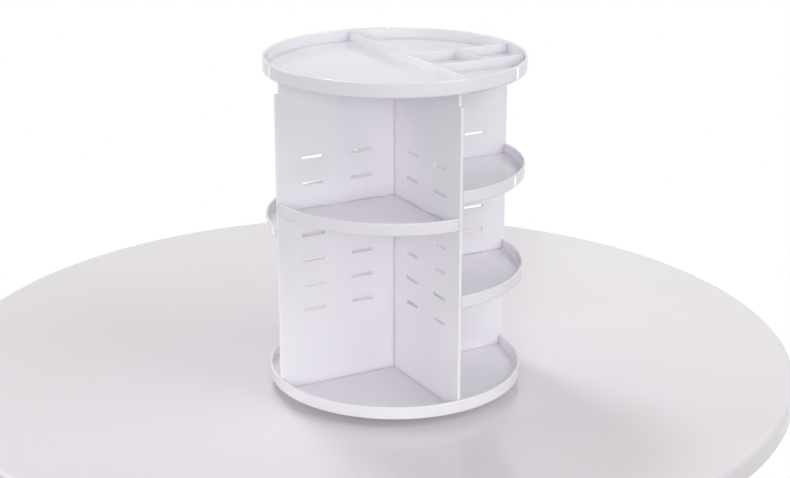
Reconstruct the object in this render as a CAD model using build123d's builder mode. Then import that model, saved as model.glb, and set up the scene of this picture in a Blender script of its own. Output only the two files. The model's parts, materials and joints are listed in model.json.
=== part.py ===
from build123d import *
import os

# Rotating countertop carousel for cosmetics. Two boards cross at the centre of a turntable,
# quarter shelves hang by their tabs in the boards' slots, and a divided round tray caps the
# boards. Millimetres, +Z up. The origin is on the table, on the axis of the turntable. One
# board stands in the XZ plane and the other in the YZ plane.

# ---------------------------------------------------------------- driving sizes

# Round dishes: top tray, base tray and quarter shelves
tray_radius = 117.5
base_radius = 116.5
dish_wall = 2.2
foot_round = 1.8            # soft outer edge under a dish
inside_round = 1.2          # fillet between a dish's floor and its wall

# Turntable
base_lift = 8.0             # underside of the base tray above the table
base_floor = 3.0
base_height = 12.0
foot_radius = 98.0
foot_plate = 2.4
foot_wall = 2.0
foot_edge_gap = 1.0         # between the foot's upstand and the base tray
foot_edge_round = 0.6
pad_radius = 7.0
pad_thickness = 2.6
pad_sink = 1.0              # how deep a pad sits in its pocket
pad_ring_radius = 84.0
pad_count = 6
pad_clearance = 0.2
pad_edge_round = 0.4
rib_thickness = 1.4
rib_count = 8
foot_rib_height = 2.2

# Bearing
race_radius = 60.0
ball_radius = 2.5
ball_count = 12
race_clearance = 0.3
race_land_width = 12.0
race_land_height = 0.9
cage_width = 10.0
cage_thickness = 1.4
cage_pocket_clearance = 0.2

# Pivot
boss_radius = 12.0
boss_gap = 0.6              # between the foot's boss and the base tray
spigot_radius = 5.0
spigot_clearance = 0.1
washer_radius = 8.0
washer_thickness = 1.0
washer_clearance = 1.0
washer_depth = 2.5          # seat of the washer above the foot's underside
axial_play = 0.1
screw_radius = 1.5
screw_clearance = 0.1
screw_length = 6.0
screw_head_radius = 3.5
screw_head_height = 1.8
screw_head_round = 0.8

# Boards
board_height = 285.6
board_thickness = 2.8
board_overhang = 0.5        # how far a board's outer edge stands beyond the top tray's
board_edge_round = 1.0
rim_clearance = 0.6         # between a board's narrow end and the base tray's wall
rim_overhang_gap = 1.9      # between the base tray's rim and the board's step above it
corner_clearance = 0.8      # how much rounder a board's corners are than the dish inside
cross_clearance = 0.1       # each side of a board in the other's slit
foot_tab_clearance = 0.2

# Slots for the shelf tabs, counted from the lowest row
slot_rows = 7
slot_pitch = 23.6
slot_first = 73.4           # centre of the lowest row above the base tray's floor
slot_columns = (34.5, 83.0)
slot_length = 21.0
slot_height = 3.2
slot_corner_round = 0.5

# Rows of slots in which each quarter's shelves hang, the lowest row being 0
back_rows = (0,)
left_rows = (3,)
front_rows = (4,)
right_rows = (1, 5)

# Shelves
shelf_height = 11.8
shelf_floor = 2.6
shelf_side_gap = 0.2        # between a shelf's straight side and the board
shelf_corner_round = 2.0
tab_side_gap = 0.7
tab_middle_gap = 0.2        # between the tabs of two shelves that share a slot

# Top tray
top_floor = 2.4
top_height = 13.2
divider_height = 8.5
divider_thickness = 1.8
divider_draft = 2.0         # degrees
chord_offset = 13.0         # the divider that cuts the tray into a large and a small half
near_divider = -50.5
far_divider = -2.0
cross_divider = 61.5
locating_rib_thickness = 1.4
locating_rib_depth = 5.0
locating_rib_clearance = 0.3
locating_rib_start = 12.0
locating_rib_end = 96.0

# ---------------------------------------------------------------- heights and shared places

foot_underside = pad_thickness - pad_sink
foot_top = foot_underside + foot_plate
base_floor_top = base_lift + base_floor
board_top = base_floor_top + board_height
top_floor_top = board_top + top_floor
ball_height = (foot_top + base_lift) / 2
washer_seat = foot_underside + washer_depth
spigot_end = washer_seat - axial_play
washer_bottom = spigot_end - washer_thickness
board_face = board_thickness / 2
board_reach = tray_radius + board_overhang
corner_step_width = board_reach - (base_radius - dish_wall - rim_clearance)
corner_step_height = base_height - base_floor + rim_overhang_gap
board_corner_round = inside_round + corner_clearance
slot_centres = [slot_first + row * slot_pitch + base_floor_top for row in range(slot_rows)]
signed_columns = [side * column for side in (-1, 1) for column in slot_columns]
tab_length = slot_length - 2 * tab_side_gap
tab_depth = (board_thickness - tab_middle_gap) / 2

# The quarters in order of their turn about the axis, a right angle at a time
quarter_rows = {"back": back_rows, "left": left_rows, "front": front_rows, "right": right_rows}


# ---------------------------------------------------------------- shared forms

def add_dish(radius, bottom, height, floor):
    """Revolve a flat-bottomed round dish with a rounded rim into the part being built."""
    inner = radius - dish_wall
    floor_top = bottom + floor
    shoulder = bottom + height - dish_wall / 2
    with BuildSketch(Plane.XZ) as section:
        with BuildLine():
            Line((0, bottom), (radius - foot_round, bottom))
            CenterArc((radius - foot_round, bottom + foot_round), foot_round, 270, 90)
            Line((radius, bottom + foot_round), (radius, shoulder))
            CenterArc((radius - dish_wall / 2, shoulder), dish_wall / 2, 0, 180)
            Line((inner, shoulder), (inner, floor_top + inside_round))
            CenterArc((inner - inside_round, floor_top + inside_round), inside_round, 270, 90)
            Line((inner - inside_round, floor_top), (0, floor_top))
            Line((0, floor_top), (0, bottom))
        make_face()
    revolve(section.sketch, axis=Axis.Z)


def add_disc(radius, bottom, height, inner_radius=0.0):
    """Add a plain disc or ring to the part being built."""
    with BuildSketch(Plane.XY.offset(bottom)) as disc:
        Circle(radius)
        if inner_radius:
            Circle(inner_radius, mode=Mode.SUBTRACT)
    extrude(disc.sketch, amount=height)


def cut_disc(radius, bottom, height):
    """Cut a round hole or pocket from the part being built."""
    with BuildSketch(Plane.XY.offset(bottom)) as hole:
        Circle(radius)
    extrude(hole.sketch, amount=height, mode=Mode.SUBTRACT)


def cut_race():
    """Cut the ball race's groove, with running room round the balls."""
    with BuildSketch(Plane.XZ) as groove:
        with Locations((race_radius, ball_height)):
            Circle(ball_radius + race_clearance)
    revolve(groove.sketch, axis=Axis.Z, mode=Mode.SUBTRACT)


def save(part, name):
    """Label a finished piece and write its file."""
    part.label = name
    export_step(part, f"parts/{name}.step")


os.makedirs("parts", exist_ok=True)

# ---------------------------------------------------------------- foot with its pads

foot_wall_height = base_lift - foot_edge_gap - foot_underside
boss_height = base_lift - boss_gap - foot_underside
rib_middle_radius = (boss_radius + foot_radius - foot_wall) / 2
rib_span = foot_radius - foot_wall - boss_radius

with BuildPart() as foot_disc:
    add_disc(foot_radius, foot_underside, foot_plate)
    add_disc(foot_radius, foot_underside, foot_wall_height, foot_radius - foot_wall)
    fillet(foot_disc.edges().group_by(Axis.Z)[0], foot_edge_round)
    add_disc(boss_radius, foot_underside, boss_height)
    with BuildSketch(Plane.XY.offset(foot_top)):
        with PolarLocations(rib_middle_radius, rib_count, start_angle=180 / rib_count):
            Rectangle(rib_span, rib_thickness)
        Circle(race_radius + race_land_width / 2, mode=Mode.SUBTRACT)
    extrude(amount=foot_rib_height)
    add_disc(
        race_radius + race_land_width / 2,
        foot_top,
        race_land_height,
        race_radius - race_land_width / 2,
    )
    cut_race()
    cut_disc(washer_radius + washer_clearance, foot_underside, washer_depth)
    cut_disc(spigot_radius + spigot_clearance, foot_underside, boss_height)
    with BuildSketch(Plane.XY.offset(foot_underside)):
        with PolarLocations(pad_ring_radius, pad_count):
            Circle(pad_radius + pad_clearance)
    extrude(amount=pad_sink, mode=Mode.SUBTRACT)
save(foot_disc.part, "foot_disc")

with BuildPart() as foot_pads:
    with BuildSketch(Plane.XY):
        with PolarLocations(pad_ring_radius, pad_count):
            Circle(pad_radius)
    extrude(amount=pad_thickness)
    fillet(foot_pads.edges().group_by(Axis.Z)[0], pad_edge_round)
save(foot_pads.part, "foot_pads")

# ---------------------------------------------------------------- ball bearing

with BuildPart() as ball_cage:
    add_disc(
        race_radius + cage_width / 2,
        ball_height - cage_thickness / 2,
        cage_thickness,
        race_radius - cage_width / 2,
    )
    with BuildSketch(Plane.XY.offset(ball_height - cage_thickness / 2)):
        with PolarLocations(race_radius, ball_count):
            Circle(ball_radius + cage_pocket_clearance)
    extrude(amount=cage_thickness, mode=Mode.SUBTRACT)
save(ball_cage.part, "ball_cage")

with BuildPart(Plane.XY.offset(ball_height)) as bearing_balls:
    with PolarLocations(race_radius, ball_count):
        Sphere(ball_radius)
save(bearing_balls.part, "bearing_balls")

# ---------------------------------------------------------------- base tray and its pivot

with BuildPart() as base_tray:
    add_dish(base_radius, base_lift, base_height, base_floor)
    add_disc(
        race_radius + race_land_width / 2,
        base_lift - race_land_height,
        race_land_height,
        race_radius - race_land_width / 2,
    )
    cut_race()
    add_disc(spigot_radius, spigot_end, base_lift - spigot_end)
    cut_disc(screw_radius + screw_clearance, spigot_end, screw_length)
    for turn in (0, 90):
        with BuildSketch(Plane.XY.rotated((0, 0, turn)).offset(base_lift)):
            with Locations(*[(column, 0) for column in signed_columns]):
                Rectangle(tab_length + 2 * foot_tab_clearance, board_thickness + 2 * foot_tab_clearance)
        extrude(amount=base_floor, mode=Mode.SUBTRACT)
save(base_tray.part, "base_tray")

with BuildPart() as pivot_washer:
    add_disc(washer_radius, washer_bottom, washer_thickness, screw_radius + screw_clearance)
save(pivot_washer.part, "pivot_washer")

with BuildPart() as pivot_screw:
    add_disc(screw_head_radius, washer_bottom - screw_head_height, screw_head_height)
    fillet(pivot_screw.edges().group_by(Axis.Z)[0], screw_head_round)
    add_disc(screw_radius, washer_bottom, screw_length)
save(pivot_screw.part, "pivot_screw")


# ---------------------------------------------------------------- crossed boards

def make_board(name, plane, slit_bottom):
    """A slotted board with stepped corners, foot tabs and half of the crossing joint."""
    corner_heights = (base_floor_top, board_top)
    slit_width = board_thickness + 2 * cross_clearance
    with BuildPart() as board:
        with BuildSketch(plane) as outline:
            with Locations((0, base_floor_top)):
                Rectangle(2 * board_reach, board_height, align=(Align.CENTER, Align.MIN))
            with Locations(*[(side * board_reach, z) for side in (-1, 1) for z in corner_heights]):
                Rectangle(2 * corner_step_width, 2 * corner_step_height, mode=Mode.SUBTRACT)
            rows_of_corners = outline.vertices().group_by(Axis.Y)
            fillet(rows_of_corners[0] + rows_of_corners[-1], board_corner_round)
            with Locations(*[(column, base_floor_top) for column in signed_columns]):
                Rectangle(tab_length, base_floor, align=(Align.CENTER, Align.MAX))
            with Locations(*[(column, z) for column in signed_columns for z in slot_centres]):
                RectangleRounded(slot_length, slot_height, slot_corner_round, mode=Mode.SUBTRACT)
            with Locations((0, slit_bottom)):
                Rectangle(
                    slit_width,
                    board_height / 2 + cross_clearance,
                    align=(Align.CENTER, Align.MIN),
                    mode=Mode.SUBTRACT,
                )
        extrude(amount=board_face, both=True)
        across = Axis((0, 0, 0), plane.x_dir)
        upright = board.edges().filter_by(Axis.Z).sort_by(across)
        fillet(upright[:2] + upright[-2:], board_edge_round)
    save(board.part, name)


make_board("board_side_to_side", Plane.XZ, base_floor_top)
make_board("board_front_to_back", Plane.YZ, base_floor_top + board_height / 2 - cross_clearance)


# ---------------------------------------------------------------- quarter shelves

def make_shelf(name, turn, row):
    """A quarter dish with a lip on its round side and two tabs on each straight side."""
    bottom = slot_centres[row] - slot_height / 2
    side = board_face + shelf_side_gap
    quarter = Plane.XY.rotated((0, 0, turn)).offset(bottom)
    with BuildPart() as shelf:
        add_dish(tray_radius, bottom, shelf_height, shelf_floor)
        with BuildSketch(quarter) as corner:
            with Locations((side, side)):
                Rectangle(tray_radius, tray_radius, align=(Align.MIN, Align.MIN))
            fillet(corner.vertices().sort_by_distance((0, 0))[0], shelf_corner_round)
        extrude(amount=shelf_height, mode=Mode.INTERSECT)
        with BuildSketch(quarter):
            with Locations(*[(column, side) for column in slot_columns]):
                Rectangle(tab_length, tab_depth + shelf_side_gap, align=(Align.CENTER, Align.MAX))
            with Locations(*[(side, column) for column in slot_columns]):
                Rectangle(tab_depth + shelf_side_gap, tab_length, align=(Align.MAX, Align.CENTER))
        extrude(amount=shelf_floor)
    save(shelf.part, name)


for quarter_index, (quarter_name, rows) in enumerate(quarter_rows.items()):
    endings = ("",) if len(rows) == 1 else ("_lower", "_upper")
    for row, ending in zip(rows, endings):
        make_shelf(f"shelf_{quarter_name}{ending}", 90 * quarter_index, row)

# ---------------------------------------------------------------- top tray

inner_radius = tray_radius - dish_wall
rib_offset = board_face + locating_rib_clearance + locating_rib_thickness / 2
rib_length = locating_rib_end - locating_rib_start
rib_middle = (locating_rib_end + locating_rib_start) / 2
divider_reach = 2 * inner_radius
cross_length = far_divider - near_divider

with BuildPart() as top_tray:
    add_dish(tray_radius, board_top, top_height, top_floor)
    with BuildSketch(Plane.XY.offset(top_floor_top)) as dividers:
        with Locations((chord_offset, 0)):
            Rectangle(divider_thickness, divider_reach)
        with Locations((chord_offset, near_divider), (chord_offset, far_divider)):
            Rectangle(divider_reach, divider_thickness, align=(Align.MIN, Align.CENTER))
        with Locations((cross_divider, near_divider)):
            Rectangle(divider_thickness, cross_length, align=(Align.CENTER, Align.MIN))
        Circle(inner_radius, mode=Mode.INTERSECT)
    extrude(amount=divider_height, taper=divider_draft)
    for arm in range(4):
        with BuildSketch(Plane.XY.rotated((0, 0, 90 * arm)).offset(board_top - locating_rib_depth)):
            with Locations((rib_middle, -rib_offset), (rib_middle, rib_offset)):
                Rectangle(rib_length, locating_rib_thickness)
        extrude(amount=locating_rib_depth)
save(top_tray.part, "top_tray")
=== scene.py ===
import json
import math

import bpy
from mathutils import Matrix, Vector


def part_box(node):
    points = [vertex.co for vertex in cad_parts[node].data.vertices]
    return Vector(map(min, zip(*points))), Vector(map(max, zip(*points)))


# Looks for a rotating countertop carousel for cosmetics: a base tray on a turntable, two crossed
# boards, quarter shelves hung in their slots and a divided round tray on top, all in glossy white
# moulded plastic. Metres, in the frame of the solids, +Z up, with the origin on the table.

MILLIMETRE = 0.001

# ---------------------------------------------------------------- camera

CAMERA_PLACE = (-0.6942, -1.2703, 0.6207)
CAMERA_HEADING = math.radians(28.66)  # turned from +Y towards +X
CAMERA_TILT = math.radians(18.50)  # downwards
SENSOR_WIDTH = 36.0
FOCAL_LENGTH = 75.81

# ---------------------------------------------------------------- table and light

TABLE_CENTRE = (0.0155, 0.0850)
TABLE_RADIUS = 0.4130
TABLE_THICKNESS = 0.026
TABLE_SIDES = 256
TABLE_EDGE_ROUND = 0.006
TABLE_EDGE_SEGMENTS = 5

BACKGROUND_STRENGTH = 1.0
SKY_STRENGTH = 0.25

# name: (place, aim, width, height, watts)
LAMPS = {
    "key_window": ((-1.25, -2.35, 0.70), (0.0, 0.0, 0.14), 2.4, 1.2, 28.5),
    "right_window_low": ((1.5, -2.0, 1.2), (0.0, 0.0, 0.14), 2.4, 1.6, 11.0),
    "right_window_high": ((1.2, -1.7, 1.9), (0.0, 0.0, 0.14), 2.0, 1.6, 17.0),
    "left_window": ((-2.5, -0.5, 1.1), (0.0, 0.0, 0.14), 1.8, 1.4, 6.0),
    "back_left_window": ((-2.0, 2.0, 1.2), (0.0, 0.0, 0.14), 1.8, 1.4, 19.0),
    "back_right_window": ((2.2, 1.6, 1.2), (0.0, 0.0, 0.14), 1.8, 1.4, 2.5),
    "ceiling": ((-0.10, 1.05, 2.0), (0.0, 0.15, 0.0), 0.45, 0.45, 13.0),
    "right_strip": ((1.236, 0.175, -0.06), (0.08, -0.09, 0.25), 0.05, 0.50, 0.35),
    "left_strip": ((-0.37, 1.18, -0.06), (-0.12, 0.01, 0.25), 0.11, 0.50, 0.16),
}

# ---------------------------------------------------------------- colours, linear

PURE_WHITE = (1.0, 1.0, 1.0, 1.0)
WHITE = (0.910, 0.885, 0.947)
FOOT_WHITE = (0.740, 0.730, 0.760)
NYLON = (0.640, 0.630, 0.600)
RUBBER = (0.560, 0.560, 0.575)
STEEL = (0.600, 0.595, 0.590)
TABLE_COLOUR = (0.860, 0.822, 0.862)

# painted shade: the same white made darker on mouldings of one kind, against the boards, not a
# different plastic
TRAY_PAINTED_SHADE = 0.93
SHELF_PAINTED_SHADE = 0.95

# ---------------------------------------------------------------- moulded plastic

GLOSSY_ROUGHNESS = 0.05
SATIN_ROUGHNESS = 0.42
PLASTIC_IOR = 1.59
GLOW_SHARE = 0.5  # how much of the light goes under the surface
GLOW_DEPTH = 0.005  # and how far it spreads there

PLASTIC_EDGE_RADIUS = 0.0003
RUBBER_EDGE_RADIUS = 0.0006
EDGE_SAMPLES = 6
EDGE_DEPTH = 0.0014  # how far in from its outer edge a board gets a painted highlight, a paler colour

PIN_PITCH = 0.046
PIN_RADIUS = 0.0030
PIN_BLUR = 0.93  # where a pin's mark starts to fade, as a share of its radius
SEAM_WIDTH = 0.00025
RIM_ROUND = 0.0011  # where a dish's wall starts to round over, below its top


# ---------------------------------------------------------------- node helpers

def add_node(tree, kind, inputs=None, **settings):
    """Add a shader node, with its settings, and with values or links for its named inputs."""
    made = tree.nodes.new(kind)
    for key, value in settings.items():
        setattr(made, key, value)
    for key, value in (inputs or {}).items():
        if isinstance(value, bpy.types.NodeSocket):
            tree.links.new(value, made.inputs[key])
        else:
            made.inputs[key].default_value = value
    return made


def calculate(tree, operation, *values):
    """The output of a math node on sockets or numbers."""
    return add_node(tree, "ShaderNodeMath", dict(enumerate(values)), operation=operation).outputs[0]


def weighted(tree, value, weight):
    """A value times a weight."""
    return calculate(tree, "MULTIPLY", value, weight)


def add_up(tree, values):
    """The sum of several sockets."""
    total = values[0]
    for value in values[1:]:
        total = calculate(tree, "ADD", total, value)
    return total


def spread(tree, value, low, high):
    """A value's range from low to high, smoothly brought to 0 to 1 and held there."""
    inputs = {"Value": value, "From Min": low, "From Max": high}
    mapped = add_node(tree, "ShaderNodeMapRange", inputs, interpolation_type="SMOOTHSTEP")
    return mapped.outputs["Result"]


def noise(tree, place, scale, detail=2.0, rough=0.5):
    """A noise value from 0 to 1; the scale is in lumps per metre."""
    inputs = {"Vector": place, "Scale": scale, "Detail": detail, "Roughness": rough}
    return add_node(tree, "ShaderNodeTexNoise", inputs).outputs[0]


def stretched(tree, place, scale):
    """Texture coordinates stretched by a different factor along each axis."""
    return add_node(tree, "ShaderNodeMapping", {"Vector": place, "Scale": scale}).outputs[0]


def blend_colours(tree, factor, first, second):
    """A mix of two colours."""
    mixed = add_node(tree, "ShaderNodeMix", data_type="RGBA")
    tree.links.new(factor, mixed.inputs[0])
    for index, value in ((6, first), (7, second)):
        if isinstance(value, bpy.types.NodeSocket):
            tree.links.new(value, mixed.inputs[index])
        else:
            mixed.inputs[index].default_value = (*value, 1.0)
    return mixed.outputs[2]


def lay_over(tree, body, layers):
    """A colour with others laid over it, each by a mask and by how much of it shows."""
    for mask, weight, colour in layers:
        body = blend_colours(tree, weighted(tree, mask, weight), body, colour)
    return body


def tint(colour, factor):
    """A colour made lighter or darker."""
    return tuple(min(1.0, channel * factor) for channel in colour)


def new_material(name):
    """A material with an empty tree, its output node, and object-space coordinates."""
    material = bpy.data.materials.new(name)
    material.use_nodes = True
    tree = material.node_tree
    tree.nodes.clear()
    output = add_node(tree, "ShaderNodeOutputMaterial")
    coordinates = add_node(tree, "ShaderNodeTexCoord")
    return material, tree, output, coordinates


def surface(tree, output, inputs):
    """Shade a material's surface with the given colour, roughness, normal and the like."""
    shader = add_node(tree, "ShaderNodeBsdfPrincipled", inputs)
    tree.links.new(shader.outputs[0], output.inputs["Surface"])


def softened(tree, radius):
    """A normal that rounds over the sharp edges of a piece."""
    return add_node(tree, "ShaderNodeBevel", {"Radius": radius}, samples=EDGE_SAMPLES).outputs[0]


def edge_wear_and_sheen_mask(tree, rounded):
    """1 on the sharp edges of a piece and 0 on its faces, from its softened normal."""
    true_normal = add_node(tree, "ShaderNodeNewGeometry").outputs["Normal"]
    facing = add_node(
        tree, "ShaderNodeVectorMath", {0: rounded, 1: true_normal}, operation="DOT_PRODUCT"
    ).outputs["Value"]
    return spread(tree, facing, low=0.995, high=0.80)


def relief(tree, heights, rounded=None):
    """A bump from the sum of several heights in millimetres, on softened edges where given."""
    inputs = {"Height": add_up(tree, heights), "Distance": MILLIMETRE, "Strength": 1.0}
    if rounded:
        inputs["Normal"] = rounded
    return add_node(tree, "ShaderNodeBump", inputs).outputs[0]


# ---------------------------------------------------------------- materials

def ejector_pins(tree, coordinates):
    """Shallow round marks in a grid, on the faces that look down, where the mould's pins pushed."""
    place = add_node(tree, "ShaderNodeSeparateXYZ", {0: coordinates.outputs["Object"]})
    inside = []
    for axis in ("X", "Y"):
        cell = calculate(tree, "DIVIDE", place.outputs[axis], PIN_PITCH)
        across = calculate(tree, "SUBTRACT", calculate(tree, "FRACT", cell), 0.5)
        inside.append(weighted(tree, across, PIN_PITCH))
    squares = [calculate(tree, "MULTIPLY", side, side) for side in inside]
    distance = calculate(tree, "SQRT", add_up(tree, squares))
    facing = add_node(tree, "ShaderNodeSeparateXYZ", {0: coordinates.outputs["Normal"]})
    below = spread(tree, facing.outputs["Z"], low=-0.90, high=-0.99)
    disc = spread(tree, distance, low=PIN_RADIUS, high=PIN_RADIUS * PIN_BLUR)
    return calculate(tree, "MULTIPLY", disc, below)


def seam(tree, coordinates, height):
    """The fine line that the two halves of a mould leave round a wall at one height."""
    place = add_node(tree, "ShaderNodeSeparateXYZ", {0: coordinates.outputs["Object"]})
    offset = calculate(tree, "ABSOLUTE", calculate(tree, "SUBTRACT", place.outputs["Z"], height))
    return spread(tree, offset, low=SEAM_WIDTH, high=0.0)


def outer_edges(tree, coordinates, reach):
    """1 on the narrow outer edges of a board of that reach from the axis, and 0 on its faces: where
    a highlight is painted.
    """
    place = add_node(tree, "ShaderNodeSeparateXYZ", {0: coordinates.outputs["Object"]})
    sides = [calculate(tree, "ABSOLUTE", place.outputs[axis]) for axis in ("X", "Y")]
    farther = calculate(tree, "MAXIMUM", *sides)
    return spread(tree, farther, low=reach - EDGE_DEPTH, high=reach - EDGE_DEPTH / 3)


def moulded_plastic(name, colour, roughness, seam_height, reach=None):
    """Injection-moulded plastic: cloudy colour, faint flow and scuffs, fine peel, and sharp edges
    that are worn rougher and painted paler as a highlight.
    """
    material, tree, output, coordinates = new_material(name)
    place = coordinates.outputs["Object"]
    drawn_out = stretched(tree, place, (1.0, 1.0, 0.25))
    scratched = stretched(tree, place, (1.0, 1.0, 0.06))
    clouds = noise(tree, place, scale=11.0, detail=3.0, rough=0.55)
    flow = noise(tree, drawn_out, scale=45.0, detail=4.0, rough=0.6)
    specks = spread(tree, noise(tree, place, scale=900.0, detail=1.0), low=0.72, high=0.80)
    patches = noise(tree, place, scale=26.0, detail=5.0, rough=0.65)
    smudges = spread(tree, patches, low=0.42, high=0.68)
    scratches = noise(tree, scratched, scale=700.0, detail=3.0, rough=0.7)
    scuffs = spread(tree, scratches, low=0.60, high=0.80)
    rounded = softened(tree, PLASTIC_EDGE_RADIUS)
    edges = edge_wear_and_sheen_mask(tree, rounded)
    if reach:
        edges = calculate(tree, "MAXIMUM", edges, outer_edges(tree, coordinates, reach))
    pins = ejector_pins(tree, coordinates)
    line = seam(tree, coordinates, seam_height)

    body = blend_colours(tree, clouds, tint(colour, 0.975), tint(colour, 1.025))
    body = lay_over(
        tree,
        body,
        [
            (flow, 0.30, tint(colour, 0.985)),
            (specks, 0.20, tint(colour, 0.80)),
            # painted highlight: sharp edges and a board's outer edges lighter in colour; their
            # added roughness below is edge wear
            (edges, 0.90, tint(colour, 1.10)),
        ],
    )
    rough = add_up(
        tree,
        [
            calculate(tree, "MULTIPLY_ADD", smudges, 0.04, roughness),
            weighted(tree, scuffs, 0.05),
            weighted(tree, edges, 0.12),
            weighted(tree, pins, 0.10),
        ],
    )
    heights = [
        weighted(tree, noise(tree, place, scale=16.0), 0.06),
        weighted(tree, noise(tree, place, scale=420.0), 0.004),
        weighted(tree, pins, -0.08),
        weighted(tree, line, 0.05),
    ]
    inputs = {
        "Base Color": body,
        "Roughness": rough,
        "Normal": relief(tree, heights, rounded),
        "IOR": PLASTIC_IOR,
        "Subsurface Weight": GLOW_SHARE,
        "Subsurface Radius": (1.0, 1.0, 1.0),
        "Subsurface Scale": GLOW_DEPTH,
    }
    surface(tree, output, inputs)
    return material


def soft_rubber(name, colour):
    """Matt rubber with a fine grain and scuffed lighter patches."""
    material, tree, output, coordinates = new_material(name)
    place = coordinates.outputs["Object"]
    grain = noise(tree, place, scale=1600.0, detail=3.0, rough=0.7)
    patches = noise(tree, place, scale=120.0, detail=4.0, rough=0.6)
    edges = edge_wear_and_sheen_mask(tree, softened(tree, RUBBER_EDGE_RADIUS))
    body = blend_colours(tree, patches, tint(colour, 0.86), tint(colour, 1.10))
    body = lay_over(tree, body, [(edges, 0.4, tint(colour, 1.2))])
    rough = calculate(tree, "MULTIPLY_ADD", patches, 0.18, 0.66)
    heights = [weighted(tree, grain, 0.05), weighted(tree, patches, 0.04)]
    inputs = {"Base Color": body, "Roughness": rough, "Normal": relief(tree, heights)}
    surface(tree, output, inputs)
    return material


def natural_nylon(name, colour):
    """Unpigmented nylon: a waxy, slightly clouded off-white."""
    material, tree, output, coordinates = new_material(name)
    place = coordinates.outputs["Object"]
    clouds = noise(tree, place, scale=90.0, detail=4.0, rough=0.6)
    patches = noise(tree, place, scale=40.0, detail=5.0, rough=0.65)
    grease = spread(tree, patches, low=0.45, high=0.62)
    body = blend_colours(tree, clouds, tint(colour, 0.90), tint(colour, 1.08))
    rough = calculate(tree, "MULTIPLY_ADD", grease, -0.22, 0.52)
    heights = [weighted(tree, noise(tree, place, scale=900.0), 0.02), weighted(tree, clouds, 0.03)]
    inputs = {
        "Base Color": body,
        "Roughness": rough,
        "Normal": relief(tree, heights),
        "Subsurface Weight": 0.15,
        "Subsurface Scale": 0.002,
    }
    surface(tree, output, inputs)
    return material


def bright_steel(name, colour):
    """Zinc-plated steel with fine turning lines and dull spots."""
    material, tree, output, coordinates = new_material(name)
    place = coordinates.outputs["Object"]
    rings = stretched(tree, place, (1.0, 1.0, 30.0))
    turned = noise(tree, rings, scale=800.0, detail=3.0, rough=0.6)
    patches = noise(tree, place, scale=500.0, detail=4.0, rough=0.6)
    spots = spread(tree, patches, low=0.50, high=0.70)
    body = blend_colours(tree, spots, tint(colour, 1.10), tint(colour, 0.82))
    rough = calculate(tree, "MULTIPLY_ADD", spots, 0.20, 0.20)
    inputs = {
        "Base Color": body,
        "Roughness": rough,
        "Normal": relief(tree, [weighted(tree, turned, 0.006)]),
        "Metallic": 1.0,
    }
    surface(tree, output, inputs)
    return material


def lacquered_table(name, colour):
    """A pale satin lacquer with faint unevenness."""
    material, tree, output, coordinates = new_material(name)
    place = coordinates.outputs["Object"]
    clouds = noise(tree, place, scale=5.0, detail=3.0)
    rubbed = noise(tree, place, scale=18.0, detail=4.0, rough=0.6)
    body = blend_colours(tree, clouds, tint(colour, 0.985), tint(colour, 1.015))
    rough = calculate(tree, "MULTIPLY_ADD", rubbed, 0.08, 0.10)
    heights = [
        weighted(tree, noise(tree, place, scale=30.0), 0.03),
        weighted(tree, noise(tree, place, scale=500.0), 0.004),
    ]
    inputs = {"Base Color": body, "Roughness": rough, "Normal": relief(tree, heights)}
    surface(tree, output, inputs)
    return material


# ---------------------------------------------------------------- stage

def make_table():
    """The round table top that the carousel stands on."""
    bpy.ops.mesh.primitive_cylinder_add(
        vertices=TABLE_SIDES,
        radius=TABLE_RADIUS,
        depth=TABLE_THICKNESS,
        location=(*TABLE_CENTRE, -TABLE_THICKNESS / 2),
    )
    table = bpy.context.object
    table.name = "table_top"
    rounding = table.modifiers.new("rounded_edge", "BEVEL")
    rounding.width = TABLE_EDGE_ROUND
    rounding.segments = TABLE_EDGE_SEGMENTS
    rounding.limit_method = "ANGLE"
    table.data.polygons.foreach_set("use_smooth", [True] * len(table.data.polygons))
    flattened = table.modifiers.new("even_shading", "WEIGHTED_NORMAL")
    flattened.keep_sharp = False
    table.data.materials.append(lacquered_table("table_lacquer", TABLE_COLOUR))


def make_world():
    """White for what the camera sees and what gloss mirrors, and a softer even light elsewhere."""
    world = bpy.data.worlds.new("studio")
    world.use_nodes = True
    bpy.context.scene.world = world
    tree = world.node_tree
    tree.nodes.clear()
    output = add_node(tree, "ShaderNodeOutputWorld")
    rays = add_node(tree, "ShaderNodeLightPath").outputs
    seen = calculate(tree, "MAXIMUM", rays["Is Camera Ray"], rays["Is Glossy Ray"])
    seen = calculate(tree, "MAXIMUM", seen, rays["Is Transmission Ray"])
    sky, white = [
        add_node(tree, "ShaderNodeBackground", {"Strength": strength, "Color": PURE_WHITE})
        for strength in (SKY_STRENGTH, BACKGROUND_STRENGTH)
    ]
    mixed = add_node(tree, "ShaderNodeMixShader", {0: seen, 1: sky.outputs[0], 2: white.outputs[0]})
    tree.links.new(mixed.outputs[0], output.inputs["Surface"])


def make_lamps():
    """Large soft lamps, and two narrow strips for the rims' highlights, aimed at the carousel."""
    for name, (place, aim, width, height, watts) in LAMPS.items():
        data = bpy.data.lights.new(name, "AREA")
        data.shape = "RECTANGLE"
        data.size = width
        data.size_y = height
        data.energy = watts
        lamp = bpy.data.objects.new(name, data)
        lamp.location = place
        lamp.rotation_euler = (Vector(aim) - Vector(place)).to_track_quat("-Z", "Y").to_euler()
        lamp.visible_camera = False
        bpy.context.scene.collection.objects.link(lamp)


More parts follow.
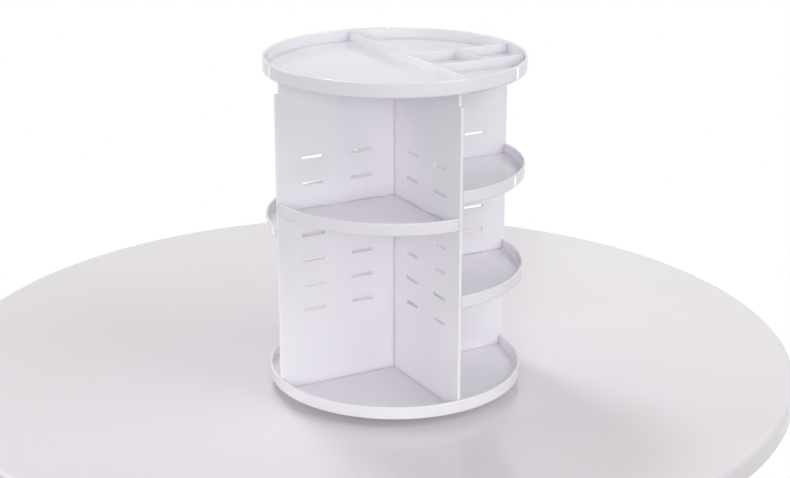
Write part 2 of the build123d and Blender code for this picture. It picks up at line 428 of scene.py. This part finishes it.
def make_camera():
    """The camera, placed and aimed as the photograph was taken."""
    data = bpy.data.cameras.new("camera")
    data.sensor_width = SENSOR_WIDTH
    data.lens = FOCAL_LENGTH
    camera = bpy.data.objects.new("camera", data)
    camera.location = CAMERA_PLACE
    camera.rotation_euler = (math.pi / 2 - CAMERA_TILT, 0.0, -CAMERA_HEADING)
    bpy.context.scene.collection.objects.link(camera)
    bpy.context.scene.camera = camera


# ---------------------------------------------------------------- the carousel

def plastic_colour(name):
    """The white of one moulding, by what kind of piece it is, with painted shade on the top tray
    and the shelves.
    """
    if name == "top_tray":
        return tint(WHITE, TRAY_PAINTED_SHADE)
    if name.startswith("shelf"):
        return tint(WHITE, SHELF_PAINTED_SHADE)
    return WHITE


def dress(node, material):
    """Give a solid of the frame its material."""
    node.data.materials.clear()
    node.data.materials.append(material)


def dress_all(nodes, slots):
    """Give every solid of the frame its material, by the slot that the record names."""
    shared = {
        "pad_rubber": soft_rubber("pad_rubber", RUBBER),
        "cage_plastic": natural_nylon("cage_nylon", NYLON),
        "steel": bright_steel("bright_steel", STEEL),
    }
    for name, node in nodes.items():
        slot = slots[name]
        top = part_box(name)[1]
        seam_height = top.z - RIM_ROUND
        reach = max(top.xy) if name.startswith("board") else None
        if slot == "white_plastic":
            colour = plastic_colour(name)
            gloss = moulded_plastic(f"gloss_{name}", colour, GLOSSY_ROUGHNESS, seam_height, reach)
            dress(node, gloss)
        elif slot == "foot_plastic":
            dress(node, moulded_plastic(f"satin_{name}", FOOT_WHITE, SATIN_ROUGHNESS, seam_height))
        else:
            dress(node, shared[slot])


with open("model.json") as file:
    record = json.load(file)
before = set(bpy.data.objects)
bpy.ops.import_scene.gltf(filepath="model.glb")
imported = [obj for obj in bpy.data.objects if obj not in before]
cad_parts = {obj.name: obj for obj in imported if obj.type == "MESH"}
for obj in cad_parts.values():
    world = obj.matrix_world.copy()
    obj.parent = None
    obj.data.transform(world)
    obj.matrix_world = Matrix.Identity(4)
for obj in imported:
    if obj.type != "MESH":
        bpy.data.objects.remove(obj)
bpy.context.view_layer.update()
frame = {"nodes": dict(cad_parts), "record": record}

dress_all(
    frame["nodes"],
    {part["node"]: part["material_slot"] for part in frame["record"]["subparts"]},
)
make_table()
make_world()
make_lamps()
make_camera()
bpy.context.scene.view_settings.view_transform = "Standard"
